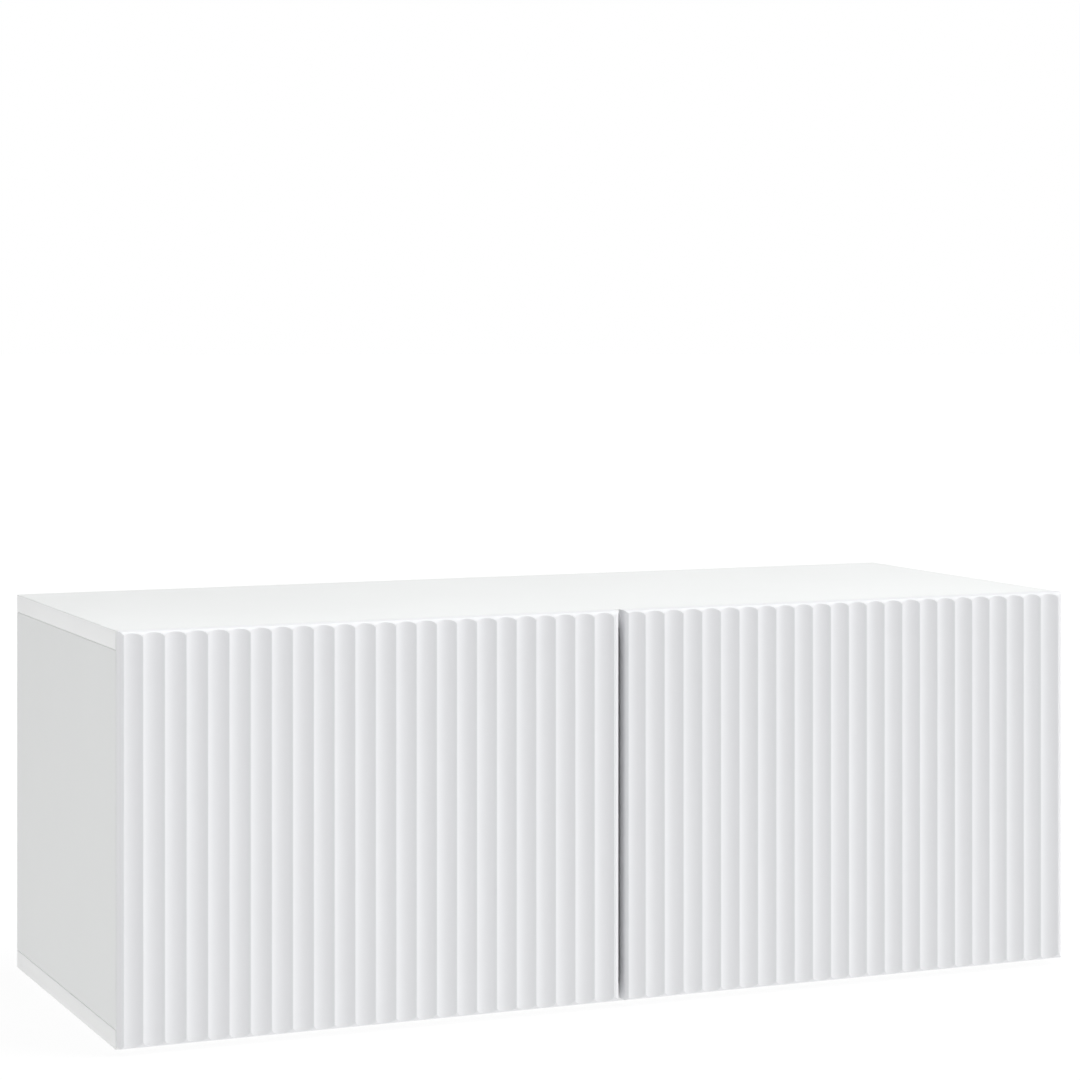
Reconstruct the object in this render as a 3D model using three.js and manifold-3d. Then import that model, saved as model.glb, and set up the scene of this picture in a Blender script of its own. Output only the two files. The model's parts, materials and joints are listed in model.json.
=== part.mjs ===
// Media cabinet: two compartments behind a pair of fluted doors.
// Millimetres, +Z up, X to the right, the doors face -Y.
// Origin: middle of the footprint, on the floor.

import * as THREE from 'three';
import { mergeVertices } from 'three/addons/utils/BufferGeometryUtils.js';
import Module from 'manifold-3d';

const wasm = await Module();
wasm.setup();

// ---- Driving dimensions ----

// Overall box, floor to top and door face to rear edge
const overallWidth = 1000;
const overallDepth = 400;
const overallHeight = 385;

// Boards
const boardThickness = 18;
const jointGap = 0.05; // hairline left where two pieces meet
const fitGap = 0.3; // clearance round a piece that sits in a hole or groove
const dividerSetback = 10; // centre divider behind the carcass front

// Back panel, let into grooves
const backThickness = 3;
const backInset = 10; // from the rear edges forward to the panel
const grooveDepth = 8;
const cableHoleRadius = 30;

// Doors
const doorThickness = 18;
const doorStandOff = 2; // between the carcass front and the back of the doors
const doorSplit = 6.5; // between the two doors
const doorLift = 3.5; // lower edge of the doors above the underside of the carcass
const doorEdgeRadius = 7; // round-over of the four front edges
const fluteCount = 24;
const fluteDepth = 3;

// Glides under the bottom panel
const glideHeight = 3;
const glideRadius = 10;
const glideInset = 34; // from the ends and the front and rear edges

// Corner joints: cam discs and bolts, with a dowel between them
const camInsetFront = 48;
const camInsetRear = 64;
const camRadius = 7.2;
const camDrop = 24; // cam centre from the end of the side panel
const camBehindBolt = 4.5; // cam material beyond the bolt's axis
const camSlotWidth = 1.4;
const camSlotDepth = 2;
const boltRadius = 3;
const boltNeckRadius = 1.6;
const boltHeadLength = 4;
const boltNeckLength = 4;
const threadRadius = 2.4;
const dowelRadius = 4;
const dowelLength = 30;
const blindFloor = 6.5; // board left behind a blind hole
const dividerDowelInset = 60;

// Concealed hinges. Their own axes: inward from the door's outer edge, back from the door's face.
const hingeAxisInward = 6;
const hingeAxisBack = 6;
const hingeEndDistance = 80; // hinge centre from the door's upper or lower edge
const cupRadius = 17.5;
const cupDepth = 11;
const cupWall = 1;
const cupEdgeDistance = 4.5; // cup rim from the door's outer edge
const flangeThickness = 0.8;
const flangeLength = 52;
const flangeWidth = 20;
const nosePivotInward = 26; // pivot in the nose of the arm
const nosePivotBack = 16;
const linkReach = [-17, -1]; // from the nose pivot to the tip of the link, door closed
const linkElbowAlong = 12;
const linkElbowAside = 3;
const linkThickness = 2;
const linkWidth = 9;
const knuckleRadius = 2.6;
const hingePinRadius = 1.5;
const armWidth = 16;
const armWall = 1.2;
const armCheekGap = 0.7; // from the link to the cheeks of the arm
const armNoseRadius = 3.4;
const armHeight = 8.2;
const armLength = 68;
const armNeck = 10; // from the nose pivot to the full height of the arm
const plateThickness = 3.5;
const plateLength = 48;
const plateWidth = 22;
const plateSetback = 20; // from the carcass front
const wingThickness = 2;
const wingWidth = 13;
const wingSpan = 46;
const wingSetback = 37; // wing screws, from the carcass front

// Push latches under the top panel
const latchInset = 60; // from the middle of the cabinet
const latchWidth = 14;
const latchHeight = 13;
const latchLength = 76;
const latchSetback = 3; // from the carcass front
const plungerRadius = 4;
const plungerLength = 46;
const strikeRadius = 8;
const strikeThickness = 1;

// ---- Derived planes ----

const doorFront = -overallDepth / 2;
const doorBack = doorFront + doorThickness;
const carcassFront = doorBack + doorStandOff;
const carcassRear = overallDepth / 2;
const carcassDepth = carcassRear - carcassFront;
const carcassMiddle = (carcassFront + carcassRear) / 2;
const bottomZ = glideHeight + boardThickness;
const topZ = overallHeight - boardThickness;
const sideHeight = topZ - bottomZ;
const backFront = carcassRear - backInset - backThickness;
const doorWidth = (overallWidth - doorSplit) / 2;
const doorBottom = glideHeight + doorLift;
const doorHeight = overallHeight - doorBottom;
const sideCentre = (overallWidth - boardThickness) / 2;
const camRows = [carcassFront + camInsetFront, carcassRear - camInsetRear];
const dowelRow = (camRows[0] + camRows[1]) / 2;
const dividerFront = carcassFront + dividerSetback;
const dividerDepth = backFront - fitGap - dividerFront;
const dividerRows = [dividerFront + dividerDowelInset, backFront - dividerDowelInset];
const blindDepth = boardThickness - blindFloor;

// ---- Solids ----

const X = new THREE.Vector3(1, 0, 0);
const Y = new THREE.Vector3(0, 1, 0);
const Z = new THREE.Vector3(0, 0, 1);
const ALONG_X = new THREE.Matrix4().makeBasis(Y, Z, X); // outline in Y, Z; length along X
const ALONG_Y = new THREE.Matrix4().makeBasis(Z, X, Y); // outline in Z, X; length along Y
const ALONG_Z = new THREE.Matrix4();

function solid(geometry) {
  geometry.deleteAttribute('normal');
  geometry.deleteAttribute('uv');
  const merged = mergeVertices(geometry);
  return new wasm.Manifold(new wasm.Mesh({
    numProp: 3,
    vertProperties: new Float32Array(merged.attributes.position.array),
    triVerts: new Uint32Array(merged.index.array),
  }));
}

function box(x, y, z, centre = [0, 0, 0]) {
  return solid(new THREE.BoxGeometry(x, y, z).translate(...centre));
}

// A prism of an outline, centred on its length
function prism(outline, length, direction = ALONG_Z) {
  const extrusion = { depth: length, bevelEnabled: false, curveSegments: 2 };
  const geometry = new THREE.ExtrudeGeometry(outline, extrusion);
  return solid(geometry.translate(0, 0, -length / 2).applyMatrix4(direction));
}

// A rod centred on its length
function rod(radius, length, centre = [0, 0, 0], direction = ALONG_Z, sides = 12) {
  const geometry = new THREE.CylinderGeometry(radius, radius, length, sides).rotateX(Math.PI / 2);
  return solid(geometry.applyMatrix4(direction).translate(...centre));
}

function subtractAll(body, cuts) {
  return cuts.reduce((rest, cut) => rest.subtract(cut), body);
}

function geometryOf(body) {
  const { vertProperties, triVerts } = body.getMesh();
  const geometry = new THREE.BufferGeometry();
  geometry.setAttribute('position', new THREE.BufferAttribute(new Float32Array(vertProperties), 3));
  geometry.setIndex(new THREE.BufferAttribute(new Uint32Array(triVerts), 1));
  geometry.computeVertexNormals();
  return geometry;
}

// ---- Finishes ----

const finishes = {
  board: { color: 0xf2f3f2, roughness: 0.45, metalness: 0 },
  lacquer: { color: 0xf4f5f4, roughness: 0.38, metalness: 0 },
  hardboard: { color: 0xe9eae8, roughness: 0.6, metalness: 0 },
  beech: { color: 0xd8b98a, roughness: 0.7, metalness: 0 },
  nickel: { color: 0xb9bbbd, roughness: 0.28, metalness: 1 },
  zinc: { color: 0x9fa3a6, roughness: 0.45, metalness: 1 },
  plastic: { color: 0xdfe0e0, roughness: 0.5, metalness: 0 },
};

const cabinet = new THREE.Group();

function addPiece(name, body, finish, position = [0, 0, 0], parent = cabinet) {
  const mesh = new THREE.Mesh(geometryOf(body), new THREE.MeshStandardMaterial(finishes[finish]));
  mesh.name = name;
  mesh.position.set(...position);
  parent.add(mesh);
}

const sides = [['left', -1], ['right', 1]];
const levels = [['bottom', -1], ['top', 1]];

// ---- Carcass ----

// Top or bottom panel about its own middle; its inner face looks towards -level
function endPanel(level) {
  const innerFace = (-level * boardThickness) / 2;
  const blindMiddle = innerFace + (level * blindDepth) / 2;
  const hole = (radius, x, row) => rod(radius + fitGap, blindDepth, [x, row - carcassMiddle, blindMiddle]);
  const cuts = [];
  for (const [, side] of sides) {
    for (const row of camRows) {
      cuts.push(hole(threadRadius, side * sideCentre, row));
    }
    cuts.push(hole(dowelRadius, side * sideCentre, dowelRow));
  }
  for (const row of dividerRows) {
    cuts.push(hole(dowelRadius, 0, row));
  }
  const grooveLength = overallWidth - 2 * (boardThickness - grooveDepth);
  cuts.push(box(grooveLength, backThickness + 2 * fitGap, 2 * grooveDepth,
    [0, backFront + backThickness / 2 - carcassMiddle, innerFace]));
  return subtractAll(box(overallWidth, carcassDepth, boardThickness), cuts);
}

// Side panel about its own middle; its inner face looks towards -side
function sidePanel(side) {
  const innerFace = (-side * boardThickness) / 2;
  const pocketDepth = boardThickness / 2 + camBehindBolt + fitGap;
  const pocketMiddle = innerFace + (side * pocketDepth) / 2;
  const dowelHole = dowelLength - blindDepth + 2 * fitGap;
  const height = sideHeight - 2 * jointGap;
  const cuts = [];
  for (const [, level] of levels) {
    const end = (level * height) / 2;
    for (const row of camRows) {
      const y = row - carcassMiddle;
      const camZ = (level * sideHeight) / 2 - level * camDrop;
      cuts.push(rod(camRadius + fitGap, pocketDepth, [pocketMiddle, y, camZ], ALONG_X, 16));
      cuts.push(rod(boltRadius + fitGap, camDrop, [0, y, end - (level * camDrop) / 2]));
    }
    const holeMiddle = end - (level * dowelHole) / 2;
    cuts.push(rod(dowelRadius + fitGap, dowelHole, [0, dowelRow - carcassMiddle, holeMiddle]));
  }
  cuts.push(box(2 * grooveDepth, backThickness + 2 * fitGap, height + 1,
    [innerFace, backFront + backThickness / 2 - carcassMiddle, 0]));
  return subtractAll(box(boardThickness, carcassDepth, height), cuts);
}

function dividerPanel() {
  const dowelHole = dowelLength - blindDepth + 2 * fitGap;
  const height = sideHeight - 2 * jointGap;
  const middle = dividerFront + dividerDepth / 2;
  const cuts = [];
  for (const [, level] of levels) {
    const holeMiddle = (level * (height - dowelHole)) / 2;
    for (const row of dividerRows) {
      cuts.push(rod(dowelRadius + fitGap, dowelHole, [0, row - middle, holeMiddle]));
    }
  }
  return subtractAll(box(boardThickness, dividerDepth, height), cuts);
}

function backPanel() {
  const inGroove = grooveDepth - fitGap;
  const width = overallWidth - 2 * boardThickness + 2 * inGroove;
  const height = sideHeight + 2 * inGroove;
  const holeX = (overallWidth - boardThickness) / 4;
  const holes = sides.map(([, side]) =>
    rod(cableHoleRadius, backThickness + 2, [side * holeX, 0, 0], ALONG_Y, 24));
  return subtractAll(box(width, backThickness, height), holes);
}

addPiece('top_panel', endPanel(1), 'board', [0, carcassMiddle, overallHeight - boardThickness / 2]);
addPiece('bottom_panel', endPanel(-1), 'board', [0, carcassMiddle, glideHeight + boardThickness / 2]);
for (const [name, side] of sides) {
  addPiece(`side_panel_${name}`, sidePanel(side), 'board',
    [side * sideCentre, carcassMiddle, (bottomZ + topZ) / 2]);
}
addPiece('centre_divider', dividerPanel(), 'board',
  [0, dividerFront + dividerDepth / 2, (bottomZ + topZ) / 2]);
addPiece('back_panel', backPanel(), 'hardboard', [0, backFront + backThickness / 2, (bottomZ + topZ) / 2]);

// ---- Glides ----

const glideColumnX = overallWidth / 2 - glideInset;
const glideColumns = [['left', -glideColumnX], ['middle', 0], ['right', glideColumnX]];
const glideRows = [['front', carcassFront + glideInset], ['rear', carcassRear - glideInset]];
for (const [row, y] of glideRows) {
  for (const [column, x] of glideColumns) {
    const height = glideHeight - jointGap;
    addPiece(`glide_${row}_${column}`, rod(glideRadius, height), 'plastic', [x, y, height / 2]);
  }
}

// ---- Corner joints ----

// Cam bolt about the joint line, thread up
function camBolt() {
  const headEnd = -camDrop - boltHeadLength / 2;
  const neckStart = headEnd + boltHeadLength + boltNeckLength;
  const profile = [
    [0, headEnd],
    [boltRadius - fitGap, headEnd],
    [boltRadius - fitGap, headEnd + boltHeadLength],
    [boltNeckRadius, headEnd + boltHeadLength],
    [boltNeckRadius, neckStart],
    [boltRadius, neckStart],
    [boltRadius, 0],
    [threadRadius, 0],
    [threadRadius, blindDepth - fitGap],
    [0, blindDepth - fitGap],
  ].map(([r, z]) => new THREE.Vector2(r, z));
  return solid(new THREE.LatheGeometry(profile, 8).rotateX(Math.PI / 2));
}

// Cam disc about the bolt's axis, its slotted face towards -side, opening up for the bolt
function camDisc(side) {
  const length = boardThickness / 2 + camBehindBolt - jointGap;
  const middle = (-side * (boardThickness / 2 - jointGap - camBehindBolt)) / 2;
  const face = -side * (boardThickness / 2 - jointGap);
  const slotLength = camRadius * 1.3;
  const throat = camRadius + boltHeadLength;
  return subtractAll(rod(camRadius, length, [middle, 0, 0], ALONG_X, 16), [
    rod(boltRadius + fitGap, throat, [0, 0, throat / 2 - boltHeadLength / 2 - fitGap]),
    box(2 * camSlotDepth, slotLength, camSlotWidth, [face, 0, 0]),
  ]);
}

for (const [name, side] of sides) {
  for (const [levelName, level] of levels) {
    const corner = new THREE.Group();
    corner.position.set(side * sideCentre, 0, level > 0 ? topZ : bottomZ);
    corner.rotation.x = level > 0 ? 0 : Math.PI;
    cabinet.add(corner);
    camRows.forEach((row, i) => {
      const place = `${levelName}_${name}_${i ? 'rear' : 'front'}`;
      addPiece(`cam_bolt_${place}`, camBolt(), 'zinc', [0, level * row, 0], corner);
      addPiece(`cam_disc_${place}`, camDisc(side), 'zinc', [0, level * row, -camDrop], corner);
    });
    addPiece(`dowel_${levelName}_${name}`, rod(dowelRadius, dowelLength), 'beech',
      [0, level * dowelRow, blindDepth - fitGap - dowelLength / 2], corner);
  }
}
for (const [levelName, level] of levels) {
  dividerRows.forEach((row, i) => {
    const jointZ = level > 0 ? topZ : bottomZ;
    addPiece(`divider_dowel_${levelName}_${i ? 'rear' : 'front'}`, rod(dowelRadius, dowelLength), 'beech',
      [0, row, jointZ + level * (blindDepth - fitGap - dowelLength / 2)]);
  });
}

// ---- Doors ----

const flutePitch = (doorWidth - doorEdgeRadius) / fluteCount;
const hingeHeights = [
  ['lower', doorBottom + hingeEndDistance],
  ['upper', overallHeight - hingeEndDistance],
];
const cupInward = cupEdgeDistance + cupRadius;

// Slab whose front carries concave flutes side by side, sharp ridges between them
function flutedSlab() {
  const outline = new THREE.Shape();
  const chord = flutePitch / 2;
  const radius = (chord * chord + fluteDepth * fluteDepth) / (2 * fluteDepth);
  const half = Math.asin(chord / radius);
  const left = -doorWidth / 2;
  outline.moveTo(left, doorThickness / 2);
  outline.lineTo(left, -doorThickness / 2);
  for (let i = 0; i < fluteCount; i++) {
    const middle = left + (i + 0.5) * flutePitch;
    const centreY = -doorThickness / 2 + fluteDepth - radius;
    outline.absarc(middle, centreY, radius, Math.PI / 2 + half, Math.PI / 2 - half, true);
  }
  outline.lineTo(doorWidth / 2, -doorThickness / 2);
  outline.lineTo(doorWidth / 2, doorThickness / 2);
  return prism(outline, doorHeight + 2);
}

// Outline with its two front corners rounded; u runs across, v from the back to the front
function roundedFront(across, direction, length) {
  const u = across / 2;
  const v = doorThickness / 2;
  const r = doorEdgeRadius;
  const outline = new THREE.Shape();
  if (direction === ALONG_Z) {
    outline.moveTo(-u, v);
    outline.lineTo(-u, -v + r);
    outline.absarc(-u + r, -v + r, r, Math.PI, 1.5 * Math.PI, false);
    outline.lineTo(u - r, -v);
    outline.absarc(u - r, -v + r, r, -0.5 * Math.PI, 0, false);
    outline.lineTo(u, v);
  } else {
    outline.moveTo(v, -u);
    outline.lineTo(-v + r, -u);
    outline.absarc(-v + r, -u + r, r, -0.5 * Math.PI, -Math.PI, true);
    outline.lineTo(-v, u - r);
    outline.absarc(-v + r, u - r, r, Math.PI, 0.5 * Math.PI, true);
    outline.lineTo(v, u);
  }
  return prism(outline, length, direction);
}

function doorPanel(side) {
  const pocketDepth = cupDepth + fitGap;
  const pockets = hingeHeights.map(([, z]) => rod(cupRadius + fitGap, 2 * pocketDepth,
    [side * (doorWidth / 2 - cupInward), doorThickness / 2, z - doorBottom - doorHeight / 2], ALONG_Y, 24));
  const board = flutedSlab()
    .intersect(roundedFront(doorWidth, ALONG_Z, doorHeight))
    .intersect(roundedFront(doorHeight, ALONG_X, doorWidth + 2));
  return subtractAll(board, pockets);
}

for (const [name, side] of sides) {
  addPiece(`door_${name}`, doorPanel(side), 'lacquer',
    [(side * (overallWidth - doorWidth)) / 2, (doorFront + doorBack) / 2, doorBottom + doorHeight / 2]);
}

// ---- Hinges ----
// Every piece is laid out from the door's outer edge at the door's face:
// inward along -side * X, back along Y.

const insideFace = boardThickness; // inner face of the side panel, inward from the outer edge
const carcassEdge = doorThickness + doorStandOff; // carcass front, back from the door's face

function cup(side) {
  const middle = [-side * cupInward, doorThickness - cupDepth / 2, 0];
  const well = rod(cupRadius - cupWall, cupDepth + flangeThickness + 2,
    [middle[0], middle[1] + cupWall + (flangeThickness + 2) / 2, 0], ALONG_Y, 24);
  const flangeMiddle = doorThickness + jointGap + flangeThickness / 2;
  return rod(cupRadius, cupDepth + 2 * jointGap, middle, ALONG_Y, 24)
    .add(rod(cupRadius + 1, flangeThickness, [middle[0], flangeMiddle, 0], ALONG_Y, 24))
    .add(box(flangeWidth, flangeThickness, flangeLength, [middle[0], flangeMiddle, 0]))
    .subtract(well);
}

// Flat bar with round ends between two points
function bar([x0, y0], [x1, y1], width, height) {
  const angle = Math.atan2(y1 - y0, x1 - x0);
  const length = Math.hypot(x1 - x0, y1 - y0);
  const r = width / 2;
  const outline = new THREE.Shape();
  outline.absarc(length, 0, r, -Math.PI / 2, Math.PI / 2, false);
  outline.absarc(0, 0, r, Math.PI / 2, 1.5 * Math.PI, false);
  return prism(outline, height, new THREE.Matrix4().makeRotationZ(angle).setPosition(x0, y0, 0));
}

// Cranked link about the nose pivot, with the pin that it turns on
function link(side) {
  const reach = Math.hypot(...linkReach);
  const along = linkReach.map((v) => v / reach);
  const aside = [-along[1], along[0]];
  const point = (a, b) => [-side * (along[0] * a + aside[0] * b), along[1] * a + aside[1] * b];
  const elbow = point(linkElbowAlong, linkElbowAside);
  return bar([0, 0], elbow, linkThickness, linkWidth)
    .add(bar(elbow, point(reach, 0), linkThickness, linkWidth))
    .add(rod(knuckleRadius, linkWidth))
    .add(rod(hingePinRadius, armWidth));
}

// Channel-shaped arm about the nose pivot, open towards the side panel
function arm(side) {
  const low = insideFace + plateThickness + fitGap - nosePivotInward;
  const high = low + armHeight;
  const inward = (v) => -side * v;
  const outline = new THREE.Shape([
    new THREE.Vector2(inward(low), armNeck),
    new THREE.Vector2(inward(low), armLength),
    new THREE.Vector2(inward(high), armLength),
    new THREE.Vector2(inward(high), armNeck),
  ]);
  const nose = new THREE.Shape();
  nose.moveTo(inward(low), armNeck + 1);
  nose.lineTo(inward(-armNoseRadius), 0);
  nose.absarc(0, 0, armNoseRadius, side > 0 ? 0 : Math.PI, side > 0 ? Math.PI : 0, side > 0);
  nose.lineTo(inward(high), armNeck + 1);
  const innerWidth = linkWidth + 2 * armCheekGap;
  const mouth = armNoseRadius + armNeck / 2;
  return prism(outline, armWidth)
    .add(prism(nose, armWidth))
    .subtract(box(2 * armHeight, armLength * 2, innerWidth,
      [inward(high - armWall - armHeight), armLength - 1, 0]))
    .subtract(box(4 * armHeight, 2 * mouth, innerWidth))
    .subtract(rod(hingePinRadius + fitGap, armWidth + 2));
}

// Cross-shaped mounting plate: a body under the arm and a wing above and below it for the screws
function plate(side) {
  const seat = insideFace + jointGap;
  const back = carcassEdge + plateSetback + plateLength / 2;
  const body = box(plateThickness, plateLength, plateWidth, [-side * (seat + plateThickness / 2), back, 0]);
  const wing = box(wingThickness, wingWidth, wingSpan,
    [-side * (seat + wingThickness / 2), carcassEdge + wingSetback, 0]);
  return body.add(wing);
}

for (const [name, side] of sides) {
  for (const [heightName, z] of hingeHeights) {
    const hinge = new THREE.Group();
    hinge.position.set((side * overallWidth) / 2, doorFront, z);
    cabinet.add(hinge);
    const nosePivot = [-side * nosePivotInward, nosePivotBack, 0];
    addPiece(`hinge_cup_${heightName}_${name}`, cup(side), 'nickel', [0, 0, 0], hinge);
    addPiece(`hinge_link_${heightName}_${name}`, link(side), 'nickel', nosePivot, hinge);
    addPiece(`hinge_arm_${heightName}_${name}`, arm(side), 'nickel', nosePivot, hinge);
    addPiece(`hinge_plate_${heightName}_${name}`, plate(side), 'nickel', [0, 0, 0], hinge);
  }
}

// ---- Push latches ----

for (const [name, side] of sides) {
  const x = side * latchInset;
  const z = topZ - latchHeight / 2;
  const housingFront = carcassFront + latchSetback;
  const plungerFront = doorBack + strikeThickness + fitGap;
  const bore = plungerFront + plungerLength + fitGap - housingFront;
  const housing = box(latchWidth, latchLength, latchHeight - jointGap)
    .subtract(rod(plungerRadius + fitGap, 2 * bore, [0, -latchLength / 2, 0], ALONG_Y));
  addPiece(`latch_housing_${name}`, housing, 'plastic',
    [x, housingFront + latchLength / 2, z - jointGap / 2]);
  addPiece(`latch_plunger_${name}`, rod(plungerRadius, plungerLength, [0, 0, 0], ALONG_Y), 'plastic',
    [x, plungerFront + plungerLength / 2, z - jointGap / 2]);
  const strike = rod(strikeRadius, strikeThickness - jointGap, [0, 0, 0], ALONG_Y);
  addPiece(`strike_plate_${name}`, strike, 'nickel',
    [x, doorBack + (strikeThickness + jointGap) / 2, z - jointGap / 2]);
}

export default cabinet;
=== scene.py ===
import json
import math

import bmesh
import bpy
from mathutils import Matrix, Vector


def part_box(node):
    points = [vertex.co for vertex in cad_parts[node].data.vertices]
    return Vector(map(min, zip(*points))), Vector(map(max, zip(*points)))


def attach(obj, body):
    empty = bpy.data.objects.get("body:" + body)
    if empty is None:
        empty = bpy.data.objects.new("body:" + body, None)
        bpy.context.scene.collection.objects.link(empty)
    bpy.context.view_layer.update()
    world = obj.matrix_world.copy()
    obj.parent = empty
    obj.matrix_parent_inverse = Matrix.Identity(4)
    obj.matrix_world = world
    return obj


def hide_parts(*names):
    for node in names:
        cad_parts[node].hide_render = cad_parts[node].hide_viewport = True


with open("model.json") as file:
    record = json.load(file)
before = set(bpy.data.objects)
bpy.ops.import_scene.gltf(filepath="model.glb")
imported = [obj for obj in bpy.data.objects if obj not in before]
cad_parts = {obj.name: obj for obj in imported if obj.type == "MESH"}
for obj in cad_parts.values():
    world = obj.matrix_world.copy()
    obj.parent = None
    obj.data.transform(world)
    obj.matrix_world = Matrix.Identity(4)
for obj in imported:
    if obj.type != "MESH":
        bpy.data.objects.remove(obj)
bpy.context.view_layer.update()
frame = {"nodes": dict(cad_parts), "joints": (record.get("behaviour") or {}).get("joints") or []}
nodes = frame["nodes"]
mm = 0.001
weld = 0.002 * mm  # closer corners than this are one
over = 1 * mm  # how far a cutter reaches past what it cuts

print("cabinet frame loaded:", len(nodes), "nodes")


def nodeBox(name):
    low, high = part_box(name)
    return Vector(low), Vector(high)


# The middle of a hinge's nose pivot, from the joint of its link
def nosePivot(side):
    joint = next(j for j in frame["joints"] if j["name"] == f"{side}_links_fold")
    return Vector(joint["pos_m"])


def meshOf(bm):
    mesh = bpy.data.meshes.new("shape")
    bm.to_mesh(mesh)
    bm.free()
    return mesh


# Cuts a mesh with a closed shape, or joins the two, and closes up edges of no real length
def combined(mesh, toolBm, operation="DIFFERENCE"):
    base = bpy.data.objects.new("base", mesh)
    tool = bpy.data.objects.new("tool", meshOf(toolBm))
    for each in (base, tool):
        bpy.context.collection.objects.link(each)
    step = base.modifiers.new("combine", "BOOLEAN")
    step.operation = operation
    step.solver = "EXACT"
    step.object = tool
    graph = bpy.context.evaluated_depsgraph_get()
    result = bpy.data.meshes.new_from_object(base.evaluated_get(graph))
    for each in (base, tool):
        old = each.data
        bpy.data.objects.remove(each)
        bpy.data.meshes.remove(old)
    bm = bmesh.new()
    bm.from_mesh(result)
    bmesh.ops.dissolve_degenerate(bm, dist=2 * weld, edges=bm.edges)
    bm.to_mesh(result)
    bm.free()
    return result


def finishPiece(name, mesh, body, material, replaced=(), sharpAngle=30):
    mesh.name = name
    for polygon in mesh.polygons:
        polygon.use_smooth = True
    mesh.set_sharp_from_angle(angle=math.radians(sharpAngle))
    for each in material if isinstance(material, (list, tuple)) else [material]:
        mesh.materials.append(each)
    piece = bpy.data.objects.new(name, mesh)
    bpy.context.collection.objects.link(piece)
    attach(piece, body)
    if replaced:
        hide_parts(*replaced)
    return piece


# Turns local Z to point along a direction, at a place
def facing(place, direction):
    return Matrix.Translation(place) @ Vector(direction).to_track_quat("Z", "Y").to_matrix().to_4x4()


def addRod(bm, start, end, radius, steps=40):
    start, end = Vector(start), Vector(end)
    bmesh.ops.create_cone(bm, cap_ends=True, cap_tris=False, segments=steps, radius1=radius, radius2=radius,
                          depth=(end - start).length, matrix=facing((start + end) / 2, end - start))


# Box between two corners; its edges along one axis, or all of them, may be rounded
def addBlock(bm, corner, opposite, rounding=0.0, along=None, steps=5):
    low = Vector(map(min, corner, opposite))
    high = Vector(map(max, corner, opposite))
    place = Matrix.Translation((low + high) / 2) @ Matrix.Diagonal((*(high - low), 1))
    verts = bmesh.ops.create_cube(bm, size=1, matrix=place)["verts"]
    if rounding:
        edges = {e for v in verts for e in v.link_edges}
        if along is not None:
            edges = {e for e in edges if abs((e.verts[0].co - e.verts[1].co).normalized()[along]) > 0.9}
        bmesh.ops.bevel(bm, geom=list(edges), offset=rounding, segments=steps, profile=0.5,
                        affect="EDGES", material=-1)


# Upright prism of an outline of (x, y) places
def addPrism(bm, outline, low, high):
    base = bm.faces.new([bm.verts.new((x, y, low)) for x, y in outline])
    grown = bmesh.ops.extrude_face_region(bm, geom=[base])["geom"]
    top = [g for g in grown if isinstance(g, bmesh.types.BMVert)]
    bmesh.ops.translate(bm, verts=top, vec=(0, 0, high - low))
    bmesh.ops.recalc_face_normals(bm, faces=bm.faces)


# Solid of revolution about local Z; the profile runs from the axis back to the axis
def turned(profile, place, steps=48):
    bm = bmesh.new()
    verts = [bm.verts.new((radius, 0, height)) for radius, height in profile]
    edges = [bm.edges.new(pair) for pair in zip(verts, verts[1:])]
    bmesh.ops.spin(bm, geom=verts + edges, cent=(0, 0, 0), axis=(0, 0, 1), dvec=(0, 0, 0),
                   angle=math.tau, steps=steps, use_merge=True, use_duplicate=False)
    bmesh.ops.remove_doubles(bm, verts=bm.verts, dist=weld)
    bmesh.ops.transform(bm, matrix=place, verts=bm.verts)
    bmesh.ops.recalc_face_normals(bm, faces=bm.faces)
    return bm


def startMaterial(name, colour, roughness, metallic=0.0):
    material = bpy.data.materials.new(name)
    material.use_nodes = True
    shader = material.node_tree.nodes["Principled BSDF"]
    shader.inputs["Base Color"].default_value = (*colour, 1)
    shader.inputs["Roughness"].default_value = roughness
    shader.inputs["Metallic"].default_value = metallic
    return material, shader


def noiseOf(tree, scale, detail=3.0, stretch=None):
    place = tree.nodes.new("ShaderNodeTexCoord")
    noise = tree.nodes.new("ShaderNodeTexNoise")
    noise.inputs["Scale"].default_value = scale
    noise.inputs["Detail"].default_value = detail
    source = place.outputs["Object"]
    if stretch:
        mapping = tree.nodes.new("ShaderNodeMapping")
        mapping.inputs["Scale"].default_value = stretch
        tree.links.new(source, mapping.inputs["Vector"])
        source = mapping.outputs["Vector"]
    tree.links.new(source, noise.inputs["Vector"])
    return noise.outputs["Fac"]


def varyColour(tree, shader, factor, dark, light, low=0.35, high=0.65):
    ramp = tree.nodes.new("ShaderNodeValToRGB")
    ramp.color_ramp.elements[0].position = low
    ramp.color_ramp.elements[0].color = (*dark, 1)
    ramp.color_ramp.elements[1].position = high
    ramp.color_ramp.elements[1].color = (*light, 1)
    tree.links.new(factor, ramp.inputs["Fac"])
    tree.links.new(ramp.outputs["Color"], shader.inputs["Base Color"])


def varyRoughness(tree, shader, factor, low, high):
    spread = tree.nodes.new("ShaderNodeMapRange")
    spread.inputs["From Min"].default_value = 0.3
    spread.inputs["From Max"].default_value = 0.7
    spread.inputs["To Min"].default_value = low
    spread.inputs["To Max"].default_value = high
    tree.links.new(factor, spread.inputs["Value"])
    tree.links.new(spread.outputs["Result"], shader.inputs["Roughness"])


def addBump(tree, shader, height, distance, strength=1.0):
    bump = tree.nodes.new("ShaderNodeBump")
    bump.inputs["Distance"].default_value = distance
    bump.inputs["Strength"].default_value = strength
    tree.links.new(height, bump.inputs["Height"])
    tree.links.new(bump.outputs["Normal"], shader.inputs["Normal"])


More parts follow.
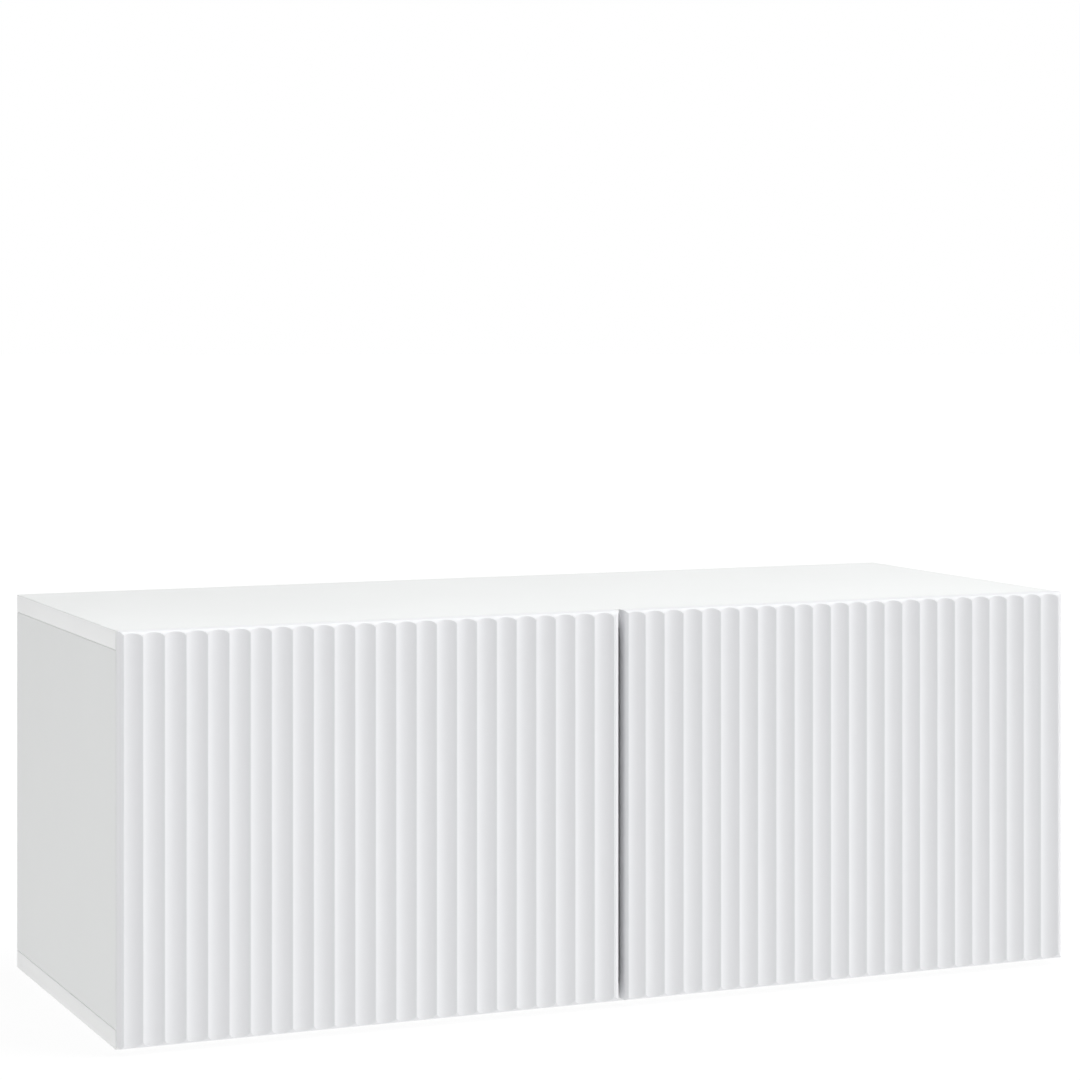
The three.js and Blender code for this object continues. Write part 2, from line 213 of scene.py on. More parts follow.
finish = {
    "boardWhite": (0.818, 0.829, 0.825),
    "edgeWhite": (0.880, 0.886, 0.884),
    "doorWhite": (0.802, 0.808, 0.824),
    "boardRoughness": 0.55,
    "edgeRoughness": 0.38,
    "doorRoughness": 0.50,
    "boardGloss": 0.10,  # how strongly a face mirrors, 0.5 being glassy
    "edgeGloss": 0.45,
    "doorGloss": 0.08,
}


# Melamine foil on chipboard: near-even white, a fine pearl grain
def melamine(name, part):
    colour, roughness = finish[f"{part}White"], finish[f"{part}Roughness"]
    material, shader = startMaterial(name, colour, roughness)
    shader.inputs["Specular IOR Level"].default_value = finish[f"{part}Gloss"]
    tree = material.node_tree
    shade = [c * 0.985 for c in colour]
    varyColour(tree, shader, noiseOf(tree, 2.2, 2), shade, colour)
    varyRoughness(tree, shader, noiseOf(tree, 14, 4), roughness - 0.04, roughness + 0.05)
    addBump(tree, shader, noiseOf(tree, 1100, 2), 0.05 * mm, 0.6)
    return material


# Sprayed lacquer on fibreboard: satin, with a faint orange peel
def lacquer():
    colour, roughness = finish["doorWhite"], finish["doorRoughness"]
    material, shader = startMaterial("whiteLacquer", colour, roughness)
    shader.inputs["Specular IOR Level"].default_value = finish["doorGloss"]
    tree = material.node_tree
    shade = [c * 0.99 for c in colour]
    varyColour(tree, shader, noiseOf(tree, 3, 2), shade, colour)
    varyRoughness(tree, shader, noiseOf(tree, 20, 3), roughness - 0.03, roughness + 0.04)
    addBump(tree, shader, noiseOf(tree, 420, 1.5), 0.06 * mm, 0.5)
    return material


def hardboardPaint():
    material, shader = startMaterial("hardboardPaint", (0.80, 0.80, 0.79), 0.62)
    tree = material.node_tree
    varyColour(tree, shader, noiseOf(tree, 9, 5), (0.79, 0.79, 0.78), (0.808, 0.808, 0.798))
    addBump(tree, shader, noiseOf(tree, 700, 3, (1, 1, 0.5)), 0.12 * mm, 0.7)
    return material


def platedSteel():
    material, shader = startMaterial("platedSteel", (0.70, 0.69, 0.67), 0.26, 1.0)
    tree = material.node_tree
    varyRoughness(tree, shader, noiseOf(tree, 160, 4), 0.2, 0.34)
    addBump(tree, shader, noiseOf(tree, 900, 2, (1, 1, 0.15)), 0.02 * mm, 0.5)
    return material


def castZinc():
    material, shader = startMaterial("castZinc", (0.52, 0.53, 0.54), 0.45, 1.0)
    tree = material.node_tree
    varyColour(tree, shader, noiseOf(tree, 260, 4), (0.44, 0.45, 0.46), (0.60, 0.61, 0.62))
    addBump(tree, shader, noiseOf(tree, 1500, 3), 0.05 * mm, 0.6)
    return material


def mouldedPlastic(name, colour, roughness):
    material, shader = startMaterial(name, colour, roughness)
    tree = material.node_tree
    shade = [c * 0.93 for c in colour]
    varyColour(tree, shader, noiseOf(tree, 30, 3), shade, colour)
    addBump(tree, shader, noiseOf(tree, 2600, 2), 0.04 * mm, 0.6)
    return material


def beech():
    material, shader = startMaterial("beech", (0.62, 0.44, 0.26), 0.6)
    tree = material.node_tree
    alongGrain = (1, 1, 0.05)
    varyColour(tree, shader, noiseOf(tree, 600, 4, alongGrain), (0.50, 0.33, 0.18), (0.70, 0.52, 0.33))
    addBump(tree, shader, noiseOf(tree, 900, 3, alongGrain), 0.1 * mm, 0.6)
    return material


boardMaterial = melamine("whiteMelamine", "board")
edgeMaterial = melamine("whiteEdgeBand", "edge")
doorMaterial = lacquer()
backMaterial = hardboardPaint()
steelMaterial = platedSteel()
zincMaterial = castZinc()
greyPlastic = mouldedPlastic("greyPlastic", (0.62, 0.63, 0.635), 0.42)
glidePlastic = mouldedPlastic("glidePlastic", (0.70, 0.70, 0.68), 0.5)
beechMaterial = beech()
print("materials ready")


board = {
    "edgeRadius": 0.8 * mm,
    "edgeSteps": 3,
}


def onOutside(face, low, high):
    axis = max(range(3), key=lambda i: abs(face.normal[i]))
    place = face.calc_center_median()[axis]
    return min(abs(place - low[axis]), abs(place - high[axis])) < 0.01 * mm


# Copy of a CAD board with eased outer edges; its ends and front carry the edge band
def buildBoard(node, name, bandAxes):
    low, high = nodeBox(node)
    bm = bmesh.new()
    bm.from_mesh(nodes[node].data)
    bmesh.ops.remove_doubles(bm, verts=bm.verts, dist=weld)
    bmesh.ops.dissolve_limit(bm, angle_limit=math.radians(0.5), use_dissolve_boundaries=False,
                             verts=bm.verts, edges=bm.edges)
    bm.normal_update()
    outer = [e for e in bm.edges if len(e.link_faces) == 2
             and abs(e.link_faces[0].normal.dot(e.link_faces[1].normal)) < 0.1
             and all(onOutside(f, low, high) for f in e.link_faces)]
    bmesh.ops.bevel(bm, geom=outer, offset=board["edgeRadius"], segments=board["edgeSteps"], profile=0.5,
                    affect="EDGES", material=-1, clamp_overlap=True)
    bm.normal_update()
    for face in bm.faces:
        axis = max(range(3), key=lambda i: abs(face.normal[i]))
        if axis in bandAxes and onOutside(face, low, high) and abs(face.normal[axis]) > 0.7:
            face.material_index = 1
    finishPiece(name, meshOf(bm), "carcass", [boardMaterial, edgeMaterial], [node])


for node, name, bandAxes in (
    ("top_panel", "topBoard", (0, 1)),
    ("bottom_panel", "bottomBoard", (0, 1)),
    ("side_panel_left", "leftSideBoard", (1,)),
    ("side_panel_right", "rightSideBoard", (1,)),
    ("centre_divider", "dividerBoard", (1,)),
):
    buildBoard(node, name, bandAxes)
print("carcass boards built")


doorFace = {
    "flutes": 24,
    "fluteDepth": 3 * mm,
    "edgeRadius": 7 * mm,
    "ridgeSoftness": 0.45 * mm,
    "lanes": 12,  # strips across one flute
    "roundSteps": 8,
    "backChamfer": 0.5 * mm,
    "pocketRadius": 17.8 * mm,  # for the hinge cups
    "pocketDepth": 11.3 * mm,
    "sharpAngle": 24,
}


# How far a flute lies behind its ridges: an arc, softened close to each ridge
def fluteDepthAt(across, pitch):
    depth = doorFace["fluteDepth"]
    soft = doorFace["ridgeSoftness"]
    half = pitch / 2
    radius = (half * half + depth * depth) / (2 * depth)
    index = min(int(across / pitch), doorFace["flutes"] - 1)
    offset = abs(across - (index + 0.5) * pitch)
    if offset > half + 1e-9:
        return 0.0
    fromRidge = half - offset
    if fromRidge >= soft:
        return math.sqrt(radius ** 2 - offset ** 2) - (radius - depth)
    rim = half - soft
    run = math.sqrt(radius ** 2 - rim ** 2)
    return run - (radius - depth) - rim / run * (soft ** 2 - fromRidge ** 2) / (2 * soft)


# Places across the door, each with how far the face lies behind the ridges there
def doorColumns(width):
    r = doorFace["edgeRadius"]
    pitch = (width - r) / doorFace["flutes"]
    steps = doorFace["roundSteps"]
    # Halves its way to the angle at which the rounded edge runs into the first flute
    low, high = 0.0, math.pi / 2
    for _ in range(40):
        angle = (low + high) / 2
        if r - r * math.sin(angle) > fluteDepthAt(r - r * math.cos(angle), pitch):
            low = angle
        else:
            high = angle
    meeting = low
    columns = []
    for k in range(steps):
        angle = meeting * k / steps
        columns.append((r - r * math.cos(angle), r - r * math.sin(angle)))
    start = r - r * math.cos(meeting)
    soft = doorFace["ridgeSoftness"]
    places = [start]
    for flute in range(doorFace["flutes"]):
        ridge = flute * pitch
        near = [ridge, ridge + soft / 2, ridge + soft]
        run = pitch - 2 * soft
        near += [ridge + soft + run * j / doorFace["lanes"] for j in range(1, doorFace["lanes"] + 1)]
        near.append(ridge + pitch - soft / 2)
        places += [p for p in near if p > start + 0.2 * mm]
    columns += [(p, fluteDepthAt(p, pitch)) for p in places]
    for k in range(steps + 1):
        angle = math.pi / 2 * (1 - k / steps)
        columns.append((width - r + r * math.cos(angle), r - r * math.sin(angle)))
    return columns


# Fluted slab, rounded at the front and chamfered at the back, with pockets for the hinge cups
def buildDoor(side, body):
    node = f"door_{side}"
    low, high = nodeBox(node)
    width, height = high.x - low.x, high.z - low.z
    r = doorFace["edgeRadius"]
    steps = doorFace["roundSteps"]
    columns = doorColumns(width)
    rows = 2 * (steps + 1)
    bm = bmesh.new()
    bmesh.ops.create_grid(bm, x_segments=len(columns) - 1, y_segments=rows - 1, size=0.5)
    for vert in bm.verts:
        across, depth = columns[round((vert.co.x + 0.5) * (len(columns) - 1))]
        row = round((vert.co.y + 0.5) * (rows - 1))
        k = min(row, rows - 1 - row)
        angle = math.asin(max(0.0, min(1.0, (r - depth) / r))) * k / steps
        rise = r - r * math.cos(angle)
        vert.co = (low.x + across, low.y + r - r * math.sin(angle),
                   low.z + rise if row <= steps else high.z - rise)
    bmesh.ops.remove_doubles(bm, verts=bm.verts, dist=0.01 * mm)
    chamfer = doorFace["backChamfer"]
    rim = [e for e in bm.edges if e.is_boundary]
    for depth, inset in ((high.y - chamfer, 0.0), (high.y, chamfer)):
        made = bmesh.ops.extrude_edge_only(bm, edges=rim)["geom"]
        rim = [g for g in made if isinstance(g, bmesh.types.BMEdge)]
        for vert in (g for g in made if isinstance(g, bmesh.types.BMVert)):
            vert.co.y = depth
            vert.co.x = min(max(vert.co.x, low.x + inset), high.x - inset)
            vert.co.z = min(max(vert.co.z, low.z + inset), high.z - inset)
    bmesh.ops.holes_fill(bm, edges=[e for e in bm.edges if e.is_boundary])
    bmesh.ops.remove_doubles(bm, verts=bm.verts, dist=0.01 * mm)
    bmesh.ops.recalc_face_normals(bm, faces=bm.faces)
    pockets = bmesh.new()
    for level in ("lower", "upper"):
        cupLow, cupHigh = nodeBox(f"hinge_cup_{level}_{side}")
        middle = (cupLow + cupHigh) / 2
        addRod(pockets, (middle.x, high.y - doorFace["pocketDepth"], middle.z),
               (middle.x, high.y + over, middle.z), doorFace["pocketRadius"], 64)
    mesh = combined(meshOf(bm), pockets)
    finishPiece(f"{side}FlutedDoor", mesh, body, doorMaterial, [node],
                doorFace["sharpAngle"])


for side in ("left", "right"):
    buildDoor(side, f"{side}_door")
print("doors built")


backSheet = {
    "holeRadius": 30 * mm,
    "holeEase": 0.3 * mm,
}


# Thin sheet with a round cable hole behind the middle of each compartment
def buildBack():
    low, high = nodeBox("back_panel")
    sideLow, sideHigh = nodeBox("side_panel_right")
    radius, ease = backSheet["holeRadius"], backSheet["holeEase"]
    bm = bmesh.new()
    addBlock(bm, low, high)
    mesh = meshOf(bm)
    profile = [(0, low.y - over), (radius + over + ease, low.y - over), (radius, low.y + ease),
               (radius, high.y - ease), (radius + over + ease, high.y + over), (0, high.y + over)]
    for sign in (-1, 1):
        x = sign * (sideLow.x + sideHigh.x) / 4
        place = facing((x, 0, (low.z + high.z) / 2), (0, 1, 0))
        mesh = combined(mesh, turned(profile, place, 96))
    finishPiece("hardboardBack", mesh, "carcass", backMaterial, ["back_panel"])


glide = {
    "nailRadius": 2.2 * mm,
    "nailSink": 0.7 * mm,
    "domeRise": 1.6 * mm,
    "domeInset": 2 * mm,
}


# Nail-on glide: a low dome underneath, with the nail's head sunk in it
def buildGlide(node):
    low, high = nodeBox(node)
    radius = (high.x - low.x) / 2
    nail, sink = glide["nailRadius"], glide["nailSink"]
    rise, inset = glide["domeRise"], glide["domeInset"]
    profile = [(0, sink), (nail, sink), (nail + 0.5 * mm, 0.05 * mm), (radius - inset, 0),
               (radius - 0.7 * mm, 0.3 * mm), (radius - 0.1 * mm, 1 * mm), (radius, rise),
               (radius, high.z), (0, high.z)]
    place = Matrix.Translation(((low.x + high.x) / 2, (low.y + high.y) / 2, 0))
    row, column = node.split("_")[1:]
    name = f"{row}{column.capitalize()}Glide"
    finishPiece(name, meshOf(turned(profile, place)), "carcass", glidePlastic, [node])


buildBack()
for node in [n for n in nodes if n.startswith("glide_")]:
    buildGlide(node)
print("back panel and glides built")


screw = {
    "length": 8 * mm,
    "pointLength": 2 * mm,
    "headRadius": 3.4 * mm,
    "headRise": 0.45 * mm,
    "coneDepth": 2 * mm,
    "shankRadius": 1.7 * mm,
    "recessWidth": 0.9 * mm,
    "recessLength": 3.9 * mm,
    "recessDepth": 1.4 * mm,
}


# Countersunk screw with a cross recess, its head at the origin and its tip along -Z
def screwMesh():
    r, rise = screw["headRadius"], screw["headRise"]
    shank, length = screw["shankRadius"], screw["length"]
    profile = [(0, rise), (0.45 * r, 0.88 * rise), (0.8 * r, 0.5 * rise), (r, 0), (r, -0.25 * mm),
               (shank, -screw["coneDepth"]), (shank, screw["pointLength"] - length), (0, -length)]
    mesh = meshOf(turned(profile, Matrix.Identity(4), 32))
    half, reach = screw["recessWidth"] / 2, screw["recessLength"] / 2
    for x, y in ((half, reach), (reach, half)):
        bar = bmesh.new()
        addBlock(bar, (-x, -y, rise - screw["recessDepth"]), (x, y, 2 * rise))
        mesh = combined(mesh, bar)
    return mesh


shortScrew = screwMesh()


# One piece of a few screws alike, all driven in against the same direction
def buildScrews(name, body, places, direction):
    bm = bmesh.new()
    for place in places:
        known = len(bm.verts)
        bm.from_mesh(shortScrew)
        bm.verts.ensure_lookup_table()
        bmesh.ops.transform(bm, matrix=facing(place, direction), verts=bm.verts[known:])
    finishPiece(name, meshOf(bm), body, steelMaterial, ())


hinge = {
    "cupRadius": 17.5 * mm,
    "cupWall": 1 * mm,
    "cupRound": 0.3 * mm,
    "flangeThickness": 0.8 * mm,
    "earWidth": 20 * mm,
    "earRounding": 5 * mm,
    "cupScrews": 21.2 * mm,  # from the middle of the cup
    "cupPinRadius": 1.2 * mm,
    "cupPinReach": 10.2 * mm,
    "linkTip": (-17 * mm, -1 * mm),  # from the nose pivot, inward and back
    "linkElbow": (-11.8 * mm, -3.7 * mm),
    "linkThickness": 2 * mm,
    "linkHalfWidth": 4.5 * mm,
    "knuckleRadius": 2.6 * mm,
    "tipRadius": 1.9 * mm,
    "pinRadius": 1.5 * mm,
    "noseRadius": 3.4 * mm,
    "armNeck": 11 * mm,
    "armWall": 1.2 * mm,
    "armSlot": 5.2 * mm,  # half the width between the cheeks
    "armScrews": (24 * mm, 52 * mm),  # behind the nose pivot
    "armTailRounding": 3 * mm,
    "armSlots": (0.2 * mm, 5 * mm),  # how far each screw's slot stretches
    "armSlotSink": 0.4 * mm,
    "plateHalfHeight": 11 * mm,
    "wingThickness": 2 * mm,
    "wingBack": 37 * mm,  # wing screws, from the carcass front
    "wingHalfWidth": 6.5 * mm,
    "wingScrews": 16.5 * mm,
    "wingRounding": 5.5 * mm,
}


# Pressed cup with a rolled rim, two ears and the pin that the link's tip closes on
def buildCup(label, node, side, inward):
    low, high = nodeBox(node)
    middle = (low + high) / 2
    radius, wall = hinge["cupRadius"], hinge["cupWall"]
    inner, rim = radius - wall, (high.x - low.x) / 2
    flange, floor = high.y - hinge["flangeThickness"], low.y + wall
    small = hinge["cupRound"]
    profile = [(0, low.y), (radius - wall, low.y), (radius - small, low.y + small),
               (radius, low.y + wall), (radius, flange), (rim, flange), (rim, high.y - small),
               (rim - small, high.y), (inner + 2 * small, high.y), (inner + 0.2 * mm, high.y - 0.2 * mm),
               (inner, high.y - 2 * small), (inner, floor + 2 * wall),
               (inner - 2 * small, floor + 2 * small), (inner - 2 * wall, floor), (0, floor)]
    ears = bmesh.new()
    reach = hinge["earWidth"] / 2
    addBlock(ears, (middle.x - reach, flange + 0.02 * mm, low.z),
             (middle.x + reach, high.y - 0.06 * mm, high.z), hinge["earRounding"], 1)
    hole = bmesh.new()
    addRod(hole, (middle.x, low.y, middle.z), (middle.x, high.y + over, middle.z), inner + 0.4 * mm, 48)
    withHole = bmesh.new()
    withHole.from_mesh(combined(meshOf(ears), hole))
    pivot = nosePivot(side)
    tip = hinge["linkTip"]
    x, y = pivot.x + inward * tip[0], pivot.y + tip[1]
    pinReach = hinge["cupPinReach"]
    addRod(withHole, (x, y, middle.z - pinReach), (x, y, middle.z + pinReach), hinge["cupPinRadius"], 24)
    place = facing((middle.x, 0, middle.z), (0, 1, 0))
    mesh = combined(meshOf(turned(profile, place, 72)), withHole, "UNION")
    body = f"{side}_door"
    finishPiece(f"{label}HingeCup", mesh, body, steelMaterial, [node])
    places = [(middle.x, high.y, middle.z + sign * hinge["cupScrews"]) for sign in (-1, 1)]
    buildScrews(f"{label}CupScrews", body, places, (0, 1, 0))


# Pressed strap with an easy bend at its elbow, an eye at each end and a riveted pin
def buildLink(label, node, side, inward):
    low, high = nodeBox(node)
    middle = (low.z + high.z) / 2
    pivot = nosePivot(side).to_2d()
    tip, elbow = (Vector((pivot.x + inward * across, pivot.y + back))
                  for across, back in (hinge["linkTip"], hinge["linkElbow"]))
    bendStart, bendEnd = pivot.lerp(elbow, 0.55), elbow.lerp(tip, 0.5)
    path = [pivot]
    for k in range(7):
        t = k / 6
        path.append(bendStart.lerp(elbow, t).lerp(elbow.lerp(bendEnd, t), t))
    path.append(tip)
    near, far = [], []
    for k, point in enumerate(path):
        run = path[min(k + 1, len(path) - 1)] - path[max(k - 1, 0)]
        aside = Vector((-run.y, run.x)).normalized() * hinge["linkThickness"] / 2
        near.append(point + aside)
        far.append(point - aside)
    bm = bmesh.new()
    reach = hinge["linkHalfWidth"]
    addPrism(bm, near + far[::-1], middle - reach, middle + reach)
    mesh = meshOf(bm)
    for place, radius, length in ((pivot, hinge["knuckleRadius"], reach), (tip, hinge["tipRadius"], reach),
                                  (pivot, hinge["pinRadius"], (high.z - low.z) / 2)):
        eye = bmesh.new()
        addRod(eye, (*place, middle - length), (*place, middle + length), radius, 32)
        mesh = combined(mesh, eye, "UNION")
    finishPiece(f"{label}HingeLink", mesh, f"{side}_links", steelMaterial, [node])


# Channel-shaped arm, open towards the side panel, with its two screws on the web
def buildArm(label, node, side, inward):
    low, high = nodeBox(node)
    middle = (low.z + high.z) / 2
    pivot = nosePivot(side)
    spread = sorted((inward * (low.x - pivot.x), inward * (high.x - pivot.x)))
    tail = high.y - pivot.y
    nose, neck, soft = hinge["noseRadius"], hinge["armNeck"], hinge["armTailRounding"]
    outline = []
    for k in range(13):
        angle = math.pi * (1 + k / 12)
        outline.append((nose * math.cos(angle), nose * math.sin(angle)))
    outline.append((spread[1], neck))
    for k in range(7):
        angle = math.pi / 2 * k / 6
        outline.append((spread[1] - soft + soft * math.cos(angle), tail - soft + soft * math.sin(angle)))
    outline += [(spread[0], tail), (spread[0], neck)]
    bm = bmesh.new()
    addPrism(bm, [(pivot.x + inward * u, pivot.y + v) for u, v in outline], low.z, high.z)
    web = spread[1] - hinge["armWall"]
    slot = hinge["armSlot"]
    mouth = nose + neck / 2

    def atArm(u, v, w):
        return (pivot.x + inward * u, pivot.y + v, middle + w)

    mesh = meshOf(bm)
    cuts = [(atArm(spread[0] - over, 0, -slot), atArm(web, tail + over, slot), 0, None),
            (atArm(-2 * nose, -mouth, -slot), atArm(2 * nose, mouth, slot), 0, None)]
    sunk = spread[1] - hinge["armSlotSink"]
    for v, stretch in zip(hinge["armScrews"], hinge["armSlots"]):
        size = screw["headRadius"] + 0.5 * mm
        cuts.append((atArm(sunk, v - size - stretch, -size),
                     atArm(spread[1] + over, v + size + stretch, size), size * 0.99, 0))
    for corner, opposite, rounding, along in cuts:
        cutter = bmesh.new()
        addBlock(cutter, corner, opposite, rounding, along, 8)
        mesh = combined(mesh, cutter)
    hole = bmesh.new()
    addRod(hole, atArm(0, 0, -9 * mm), atArm(0, 0, 9 * mm), hinge["pinRadius"] + 0.3 * mm, 32)
    mesh = combined(mesh, hole)
    finishPiece(f"{label}HingeArm", mesh, "carcass", steelMaterial, [node])
    places = [atArm(sunk, v, 0) for v in hinge["armScrews"]]
    buildScrews(f"{label}ArmScrews", "carcass", places, (inward, 0, 0))


# Cross-shaped plate: a body under the arm, and a wing above and below it for the screws
def buildPlate(label, node, side, inward):
    low, high = nodeBox(node)
    middle = (low.z + high.z) / 2
    seat = low.x if inward > 0 else high.x
    top = high.x if inward > 0 else low.x
    front = nodeBox("bottom_panel")[0].y
    half = hinge["plateHalfHeight"]
    body = bmesh.new()
    addBlock(body, (seat, low.y, middle - half), (top, high.y, middle + half), 2 * mm, 0)
    wings = bmesh.new()
    across = front + hinge["wingBack"]
    wingTop = seat + inward * hinge["wingThickness"]
    addBlock(wings, (seat + inward * 0.02 * mm, across - hinge["wingHalfWidth"], low.z),
             (wingTop, across + hinge["wingHalfWidth"], high.z), hinge["wingRounding"], 0, 8)
    mesh = combined(meshOf(body), wings, "UNION")
    finishPiece(f"{label}HingePlate", mesh, "carcass", steelMaterial, [node])
    places = [(wingTop, across, middle + sign * hinge["wingScrews"]) for sign in (-1, 1)]
    buildScrews(f"{label}PlateScrews", "carcass", places, (inward, 0, 0))


for side, inward in (("left", 1), ("right", -1)):
    for level in ("lower", "upper"):
        label = side + level.capitalize()
        builders = {"cup": buildCup, "link": buildLink, "arm": buildArm, "plate": buildPlate}
        for part, build in builders.items():
            build(label, f"hinge_{part}_{level}_{side}", side, inward)
print("hinges built")


latch = {
    "edgeRounding": 1.2 * mm,
    "boreGap": 0.3 * mm,
    "mouthChamfer": 0.6 * mm,
    "tipRounding": 0.9 * mm,
    "magnetRadius": 2.7 * mm,
    "magnetSink": 0.25 * mm,
    "dimpleRadius": 3.7 * mm,
    "dimpleDepth": 0.5 * mm,
}


# Push latch: a housing under the top, a plunger with a magnet at its tip, a strike on the door
def buildLatch(side):
    low, high = nodeBox(f"latch_housing_{side}")
    rodLow, rodHigh = nodeBox(f"latch_plunger_{side}")
    middle = (rodLow + rodHigh) / 2
    radius = (rodHigh.x - rodLow.x) / 2
    bore = radius + latch["boreGap"]
    chamfer = latch["mouthChamfer"]
    along = facing((middle.x, 0, middle.z), (0, 1, 0))
    bm = bmesh.new()
    addBlock(bm, low, high, latch["edgeRounding"])
    boreEnd = rodHigh.y + latch["boreGap"]
    cutter = turned([(0, low.y - over), (bore + chamfer + over, low.y - over), (bore, low.y + chamfer),
                     (bore, boreEnd), (0, boreEnd)], along)
    housing = combined(meshOf(bm), cutter)
    finishPiece(f"{side}LatchHousing", housing, "carcass", greyPlastic, [f"latch_housing_{side}"])

    tip, magnet, sink = latch["tipRounding"], latch["magnetRadius"], latch["magnetSink"]
    profile = [(0, rodLow.y + sink), (magnet, rodLow.y + sink), (magnet + 0.1 * mm, rodLow.y),
               (radius - tip, rodLow.y), (radius - 0.3 * tip, rodLow.y + 0.3 * tip),
               (radius, rodLow.y + tip), (radius, rodHigh.y - 0.3 * mm), (radius - 0.3 * mm, rodHigh.y),
               (0, rodHigh.y)]
    bm = turned(profile, along)
    for face in bm.faces:
        centre = face.calc_center_median()
        if face.normal.y < -0.9 and (centre - Vector((middle.x, centre.y, middle.z))).length < magnet:
            face.material_index = 1
    finishPiece(f"{side}LatchPlunger", meshOf(bm), f"{side}_plunger", [greyPlastic, steelMaterial],
                [f"latch_plunger_{side}"])

    low, high = nodeBox(f"strike_plate_{side}")
    radius = (high.x - low.x) / 2
    dimple, depth = latch["dimpleRadius"], latch["dimpleDepth"]
    profile = [(0, low.y), (radius - 0.1 * mm, low.y), (radius, low.y + 0.1 * mm),
               (radius, high.y - 0.3 * mm), (radius - 0.3 * mm, high.y), (dimple + depth, high.y),
               (dimple, high.y - depth), (0, high.y - depth)]
    place = facing(((low.x + high.x) / 2, 0, (low.z + high.z) / 2), (0, 1, 0))
    finishPiece(f"{side}StrikePlate", meshOf(turned(profile, place)), f"{side}_door", steelMaterial,
                [f"strike_plate_{side}"])
    buildScrews(f"{side}StrikeScrew", f"{side}_door",
                [((low.x + high.x) / 2, high.y - depth, (low.z + high.z) / 2)], (0, 1, 0))


for side in ("left", "right"):
    buildLatch(side)
print("latches built")


cam = {
    "edgeChamfer": 0.4 * mm,
    "slotWidth": 1.5 * mm,
    "slotLength": 9.4 * mm,
    "crossLength": 5.2 * mm,
    "slotDepth": 2 * mm,
    "throatRadius": 3.3 * mm,
    "throatReach": (2.3 * mm, 9 * mm),  # away from the bolt, and towards it
}


# Cam disc: a cross-slotted face inside the cabinet, and a throat for the head of its bolt
def buildCam(node):
    level, side, row = node.split("_")[2:]
    low, high = nodeBox(node)
    middle = (low + high) / 2
    inward = 1 if side == "left" else -1
    face = high.x if inward > 0 else low.x
    radius, length = (high.y - low.y) / 2, high.x - low.x
    chamfer = cam["edgeChamfer"]
    profile = [(0, 0), (radius - chamfer, 0), (radius, -chamfer), (radius, -length), (0, -length)]
    mesh = meshOf(turned(profile, facing((face, middle.y, middle.z), (inward, 0, 0)), 40))
    depth, width = cam["slotDepth"], cam["slotWidth"] / 2
    for reachY, reachZ in ((cam["slotLength"] / 2, width), (width, cam["crossLength"] / 2)):
        slot = bmesh.new()
        addBlock(slot, (face - inward * depth, middle.y - reachY, middle.z - reachZ),
                 (face + inward * over, middle.y + reachY, middle.z + reachZ))
        mesh = combined(mesh, slot)
    panelLow, panelHigh = nodeBox(f"side_panel_{side}")
    away = 1 if level == "top" else -1
    throat = bmesh.new()
    x = (panelLow.x + panelHigh.x) / 2
    short, far = cam["throatReach"]
    addRod(throat, (x, middle.y, middle.z - away * short), (x, middle.y, middle.z + away * far),
           cam["throatRadius"], 24)
    mesh = combined(mesh, throat)
    name = f"{side}{level.capitalize()}{row.capitalize()}Cam"
    finishPiece(name, mesh, "carcass", zincMaterial, [node])


for node in [n for n in nodes if n.startswith("cam_disc_")]:
    buildCam(node)
print("corner fittings built")


# The bolts and dowels keep their CAD shape
def paintNode(name, material):
    data = nodes[name].data
    data.materials.clear()
    data.materials.append(material)


for name in nodes:
    if name.startswith("cam_bolt_"):
        paintNode(name, zincMaterial)
    elif "dowel" in name:
        paintNode(name, beechMaterial)


studio = {
    "floorRadius": 40,
    "floorWhite": 0.12,
    "floorGlow": 0.88,  # keeps the shade on the floor faint
    "skyStrength": 2,
    "skyBands": ((0.10, 0.5), (0.18, 0.02), (0.7, 0.02), (1.0, 1.12)),  # height, brightness
    # name, strength, softness in degrees, where the light stands
    "lights": (
        ("keyLight", 2.2, 50, (0.72, -0.24, 0.65)),
        ("fillLight", 0.30, 24, (-0.50, -0.83, 0.26)),
        ("sideLight", 0.32, 40, (-0.90, 0.15, 0.40)),
    ),
}


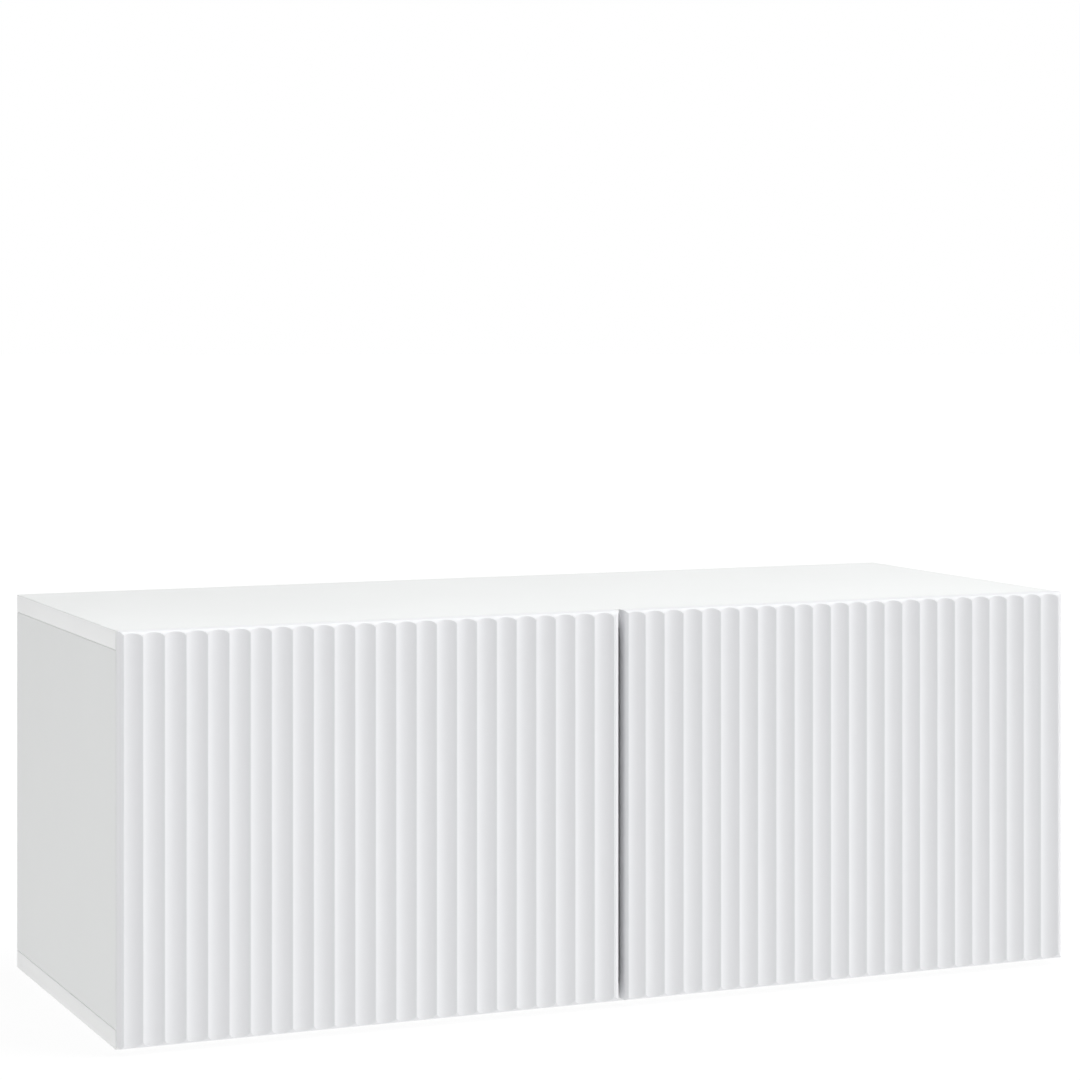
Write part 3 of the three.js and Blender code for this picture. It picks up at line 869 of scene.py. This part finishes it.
# Soft light from overhead, and a bright band low down all round that makes the backdrop white
def buildSky():
    world = bpy.data.worlds.new("softStudio")
    bpy.context.scene.world = world
    world.use_nodes = True
    tree = world.node_tree
    place = tree.nodes.new("ShaderNodeTexCoord")
    split = tree.nodes.new("ShaderNodeSeparateXYZ")
    ramp = tree.nodes.new("ShaderNodeValToRGB")
    stops = ramp.color_ramp.elements
    while len(stops) < len(studio["skyBands"]):
        stops.new(0.5)
    for stop, (height, bright) in zip(stops, studio["skyBands"]):
        stop.position = height
        stop.color = (bright, bright, bright, 1)
    tree.links.new(place.outputs["Generated"], split.inputs["Vector"])
    tree.links.new(split.outputs["Z"], ramp.inputs["Fac"])
    tree.nodes["Background"].inputs["Strength"].default_value = studio["skyStrength"]
    tree.links.new(ramp.outputs["Color"], tree.nodes["Background"].inputs["Color"])


def buildStudio():
    bm = bmesh.new()
    bmesh.ops.create_circle(bm, cap_ends=True, segments=96, radius=studio["floorRadius"])
    mesh = bpy.data.meshes.new("paleFloor")
    bm.to_mesh(mesh)
    bm.free()
    floor = bpy.data.objects.new("paleFloor", mesh)
    bpy.context.collection.objects.link(floor)
    material, shader = startMaterial("paleFloor", [studio["floorWhite"]] * 3, 0.9)
    shader.inputs["Specular IOR Level"].default_value = 0.1
    shader.inputs["Emission Color"].default_value = (1, 1, 1, 1)
    shader.inputs["Emission Strength"].default_value = studio["floorGlow"]
    mesh.materials.append(material)

    for name, strength, softness, stand in studio["lights"]:
        light = bpy.data.lights.new(name, "SUN")
        light.energy = strength
        light.angle = math.radians(softness)
        lamp = bpy.data.objects.new(name, light)
        lamp.rotation_euler = Vector(stand).to_track_quat("Z", "Y").to_euler()
        bpy.context.collection.objects.link(lamp)


view = {
    "place": (-1.2407, -2.8951, 0.6799),
    "turn": 23.152,  # degrees clockwise from straight at the doors
    "lens": 102.06,
    "shiftY": -0.2161,
}


def buildCamera():
    data = bpy.data.cameras.new("camera")
    data.lens = view["lens"]
    data.sensor_width = 36
    data.shift_y = view["shiftY"]
    camera = bpy.data.objects.new("camera", data)
    camera.location = view["place"]
    camera.rotation_euler = (math.pi / 2, 0, -math.radians(view["turn"]))
    bpy.context.collection.objects.link(camera)
    bpy.context.scene.camera = camera


buildSky()
buildStudio()
buildCamera()
bpy.context.scene.view_settings.view_transform = "Standard"
print("studio and camera set")
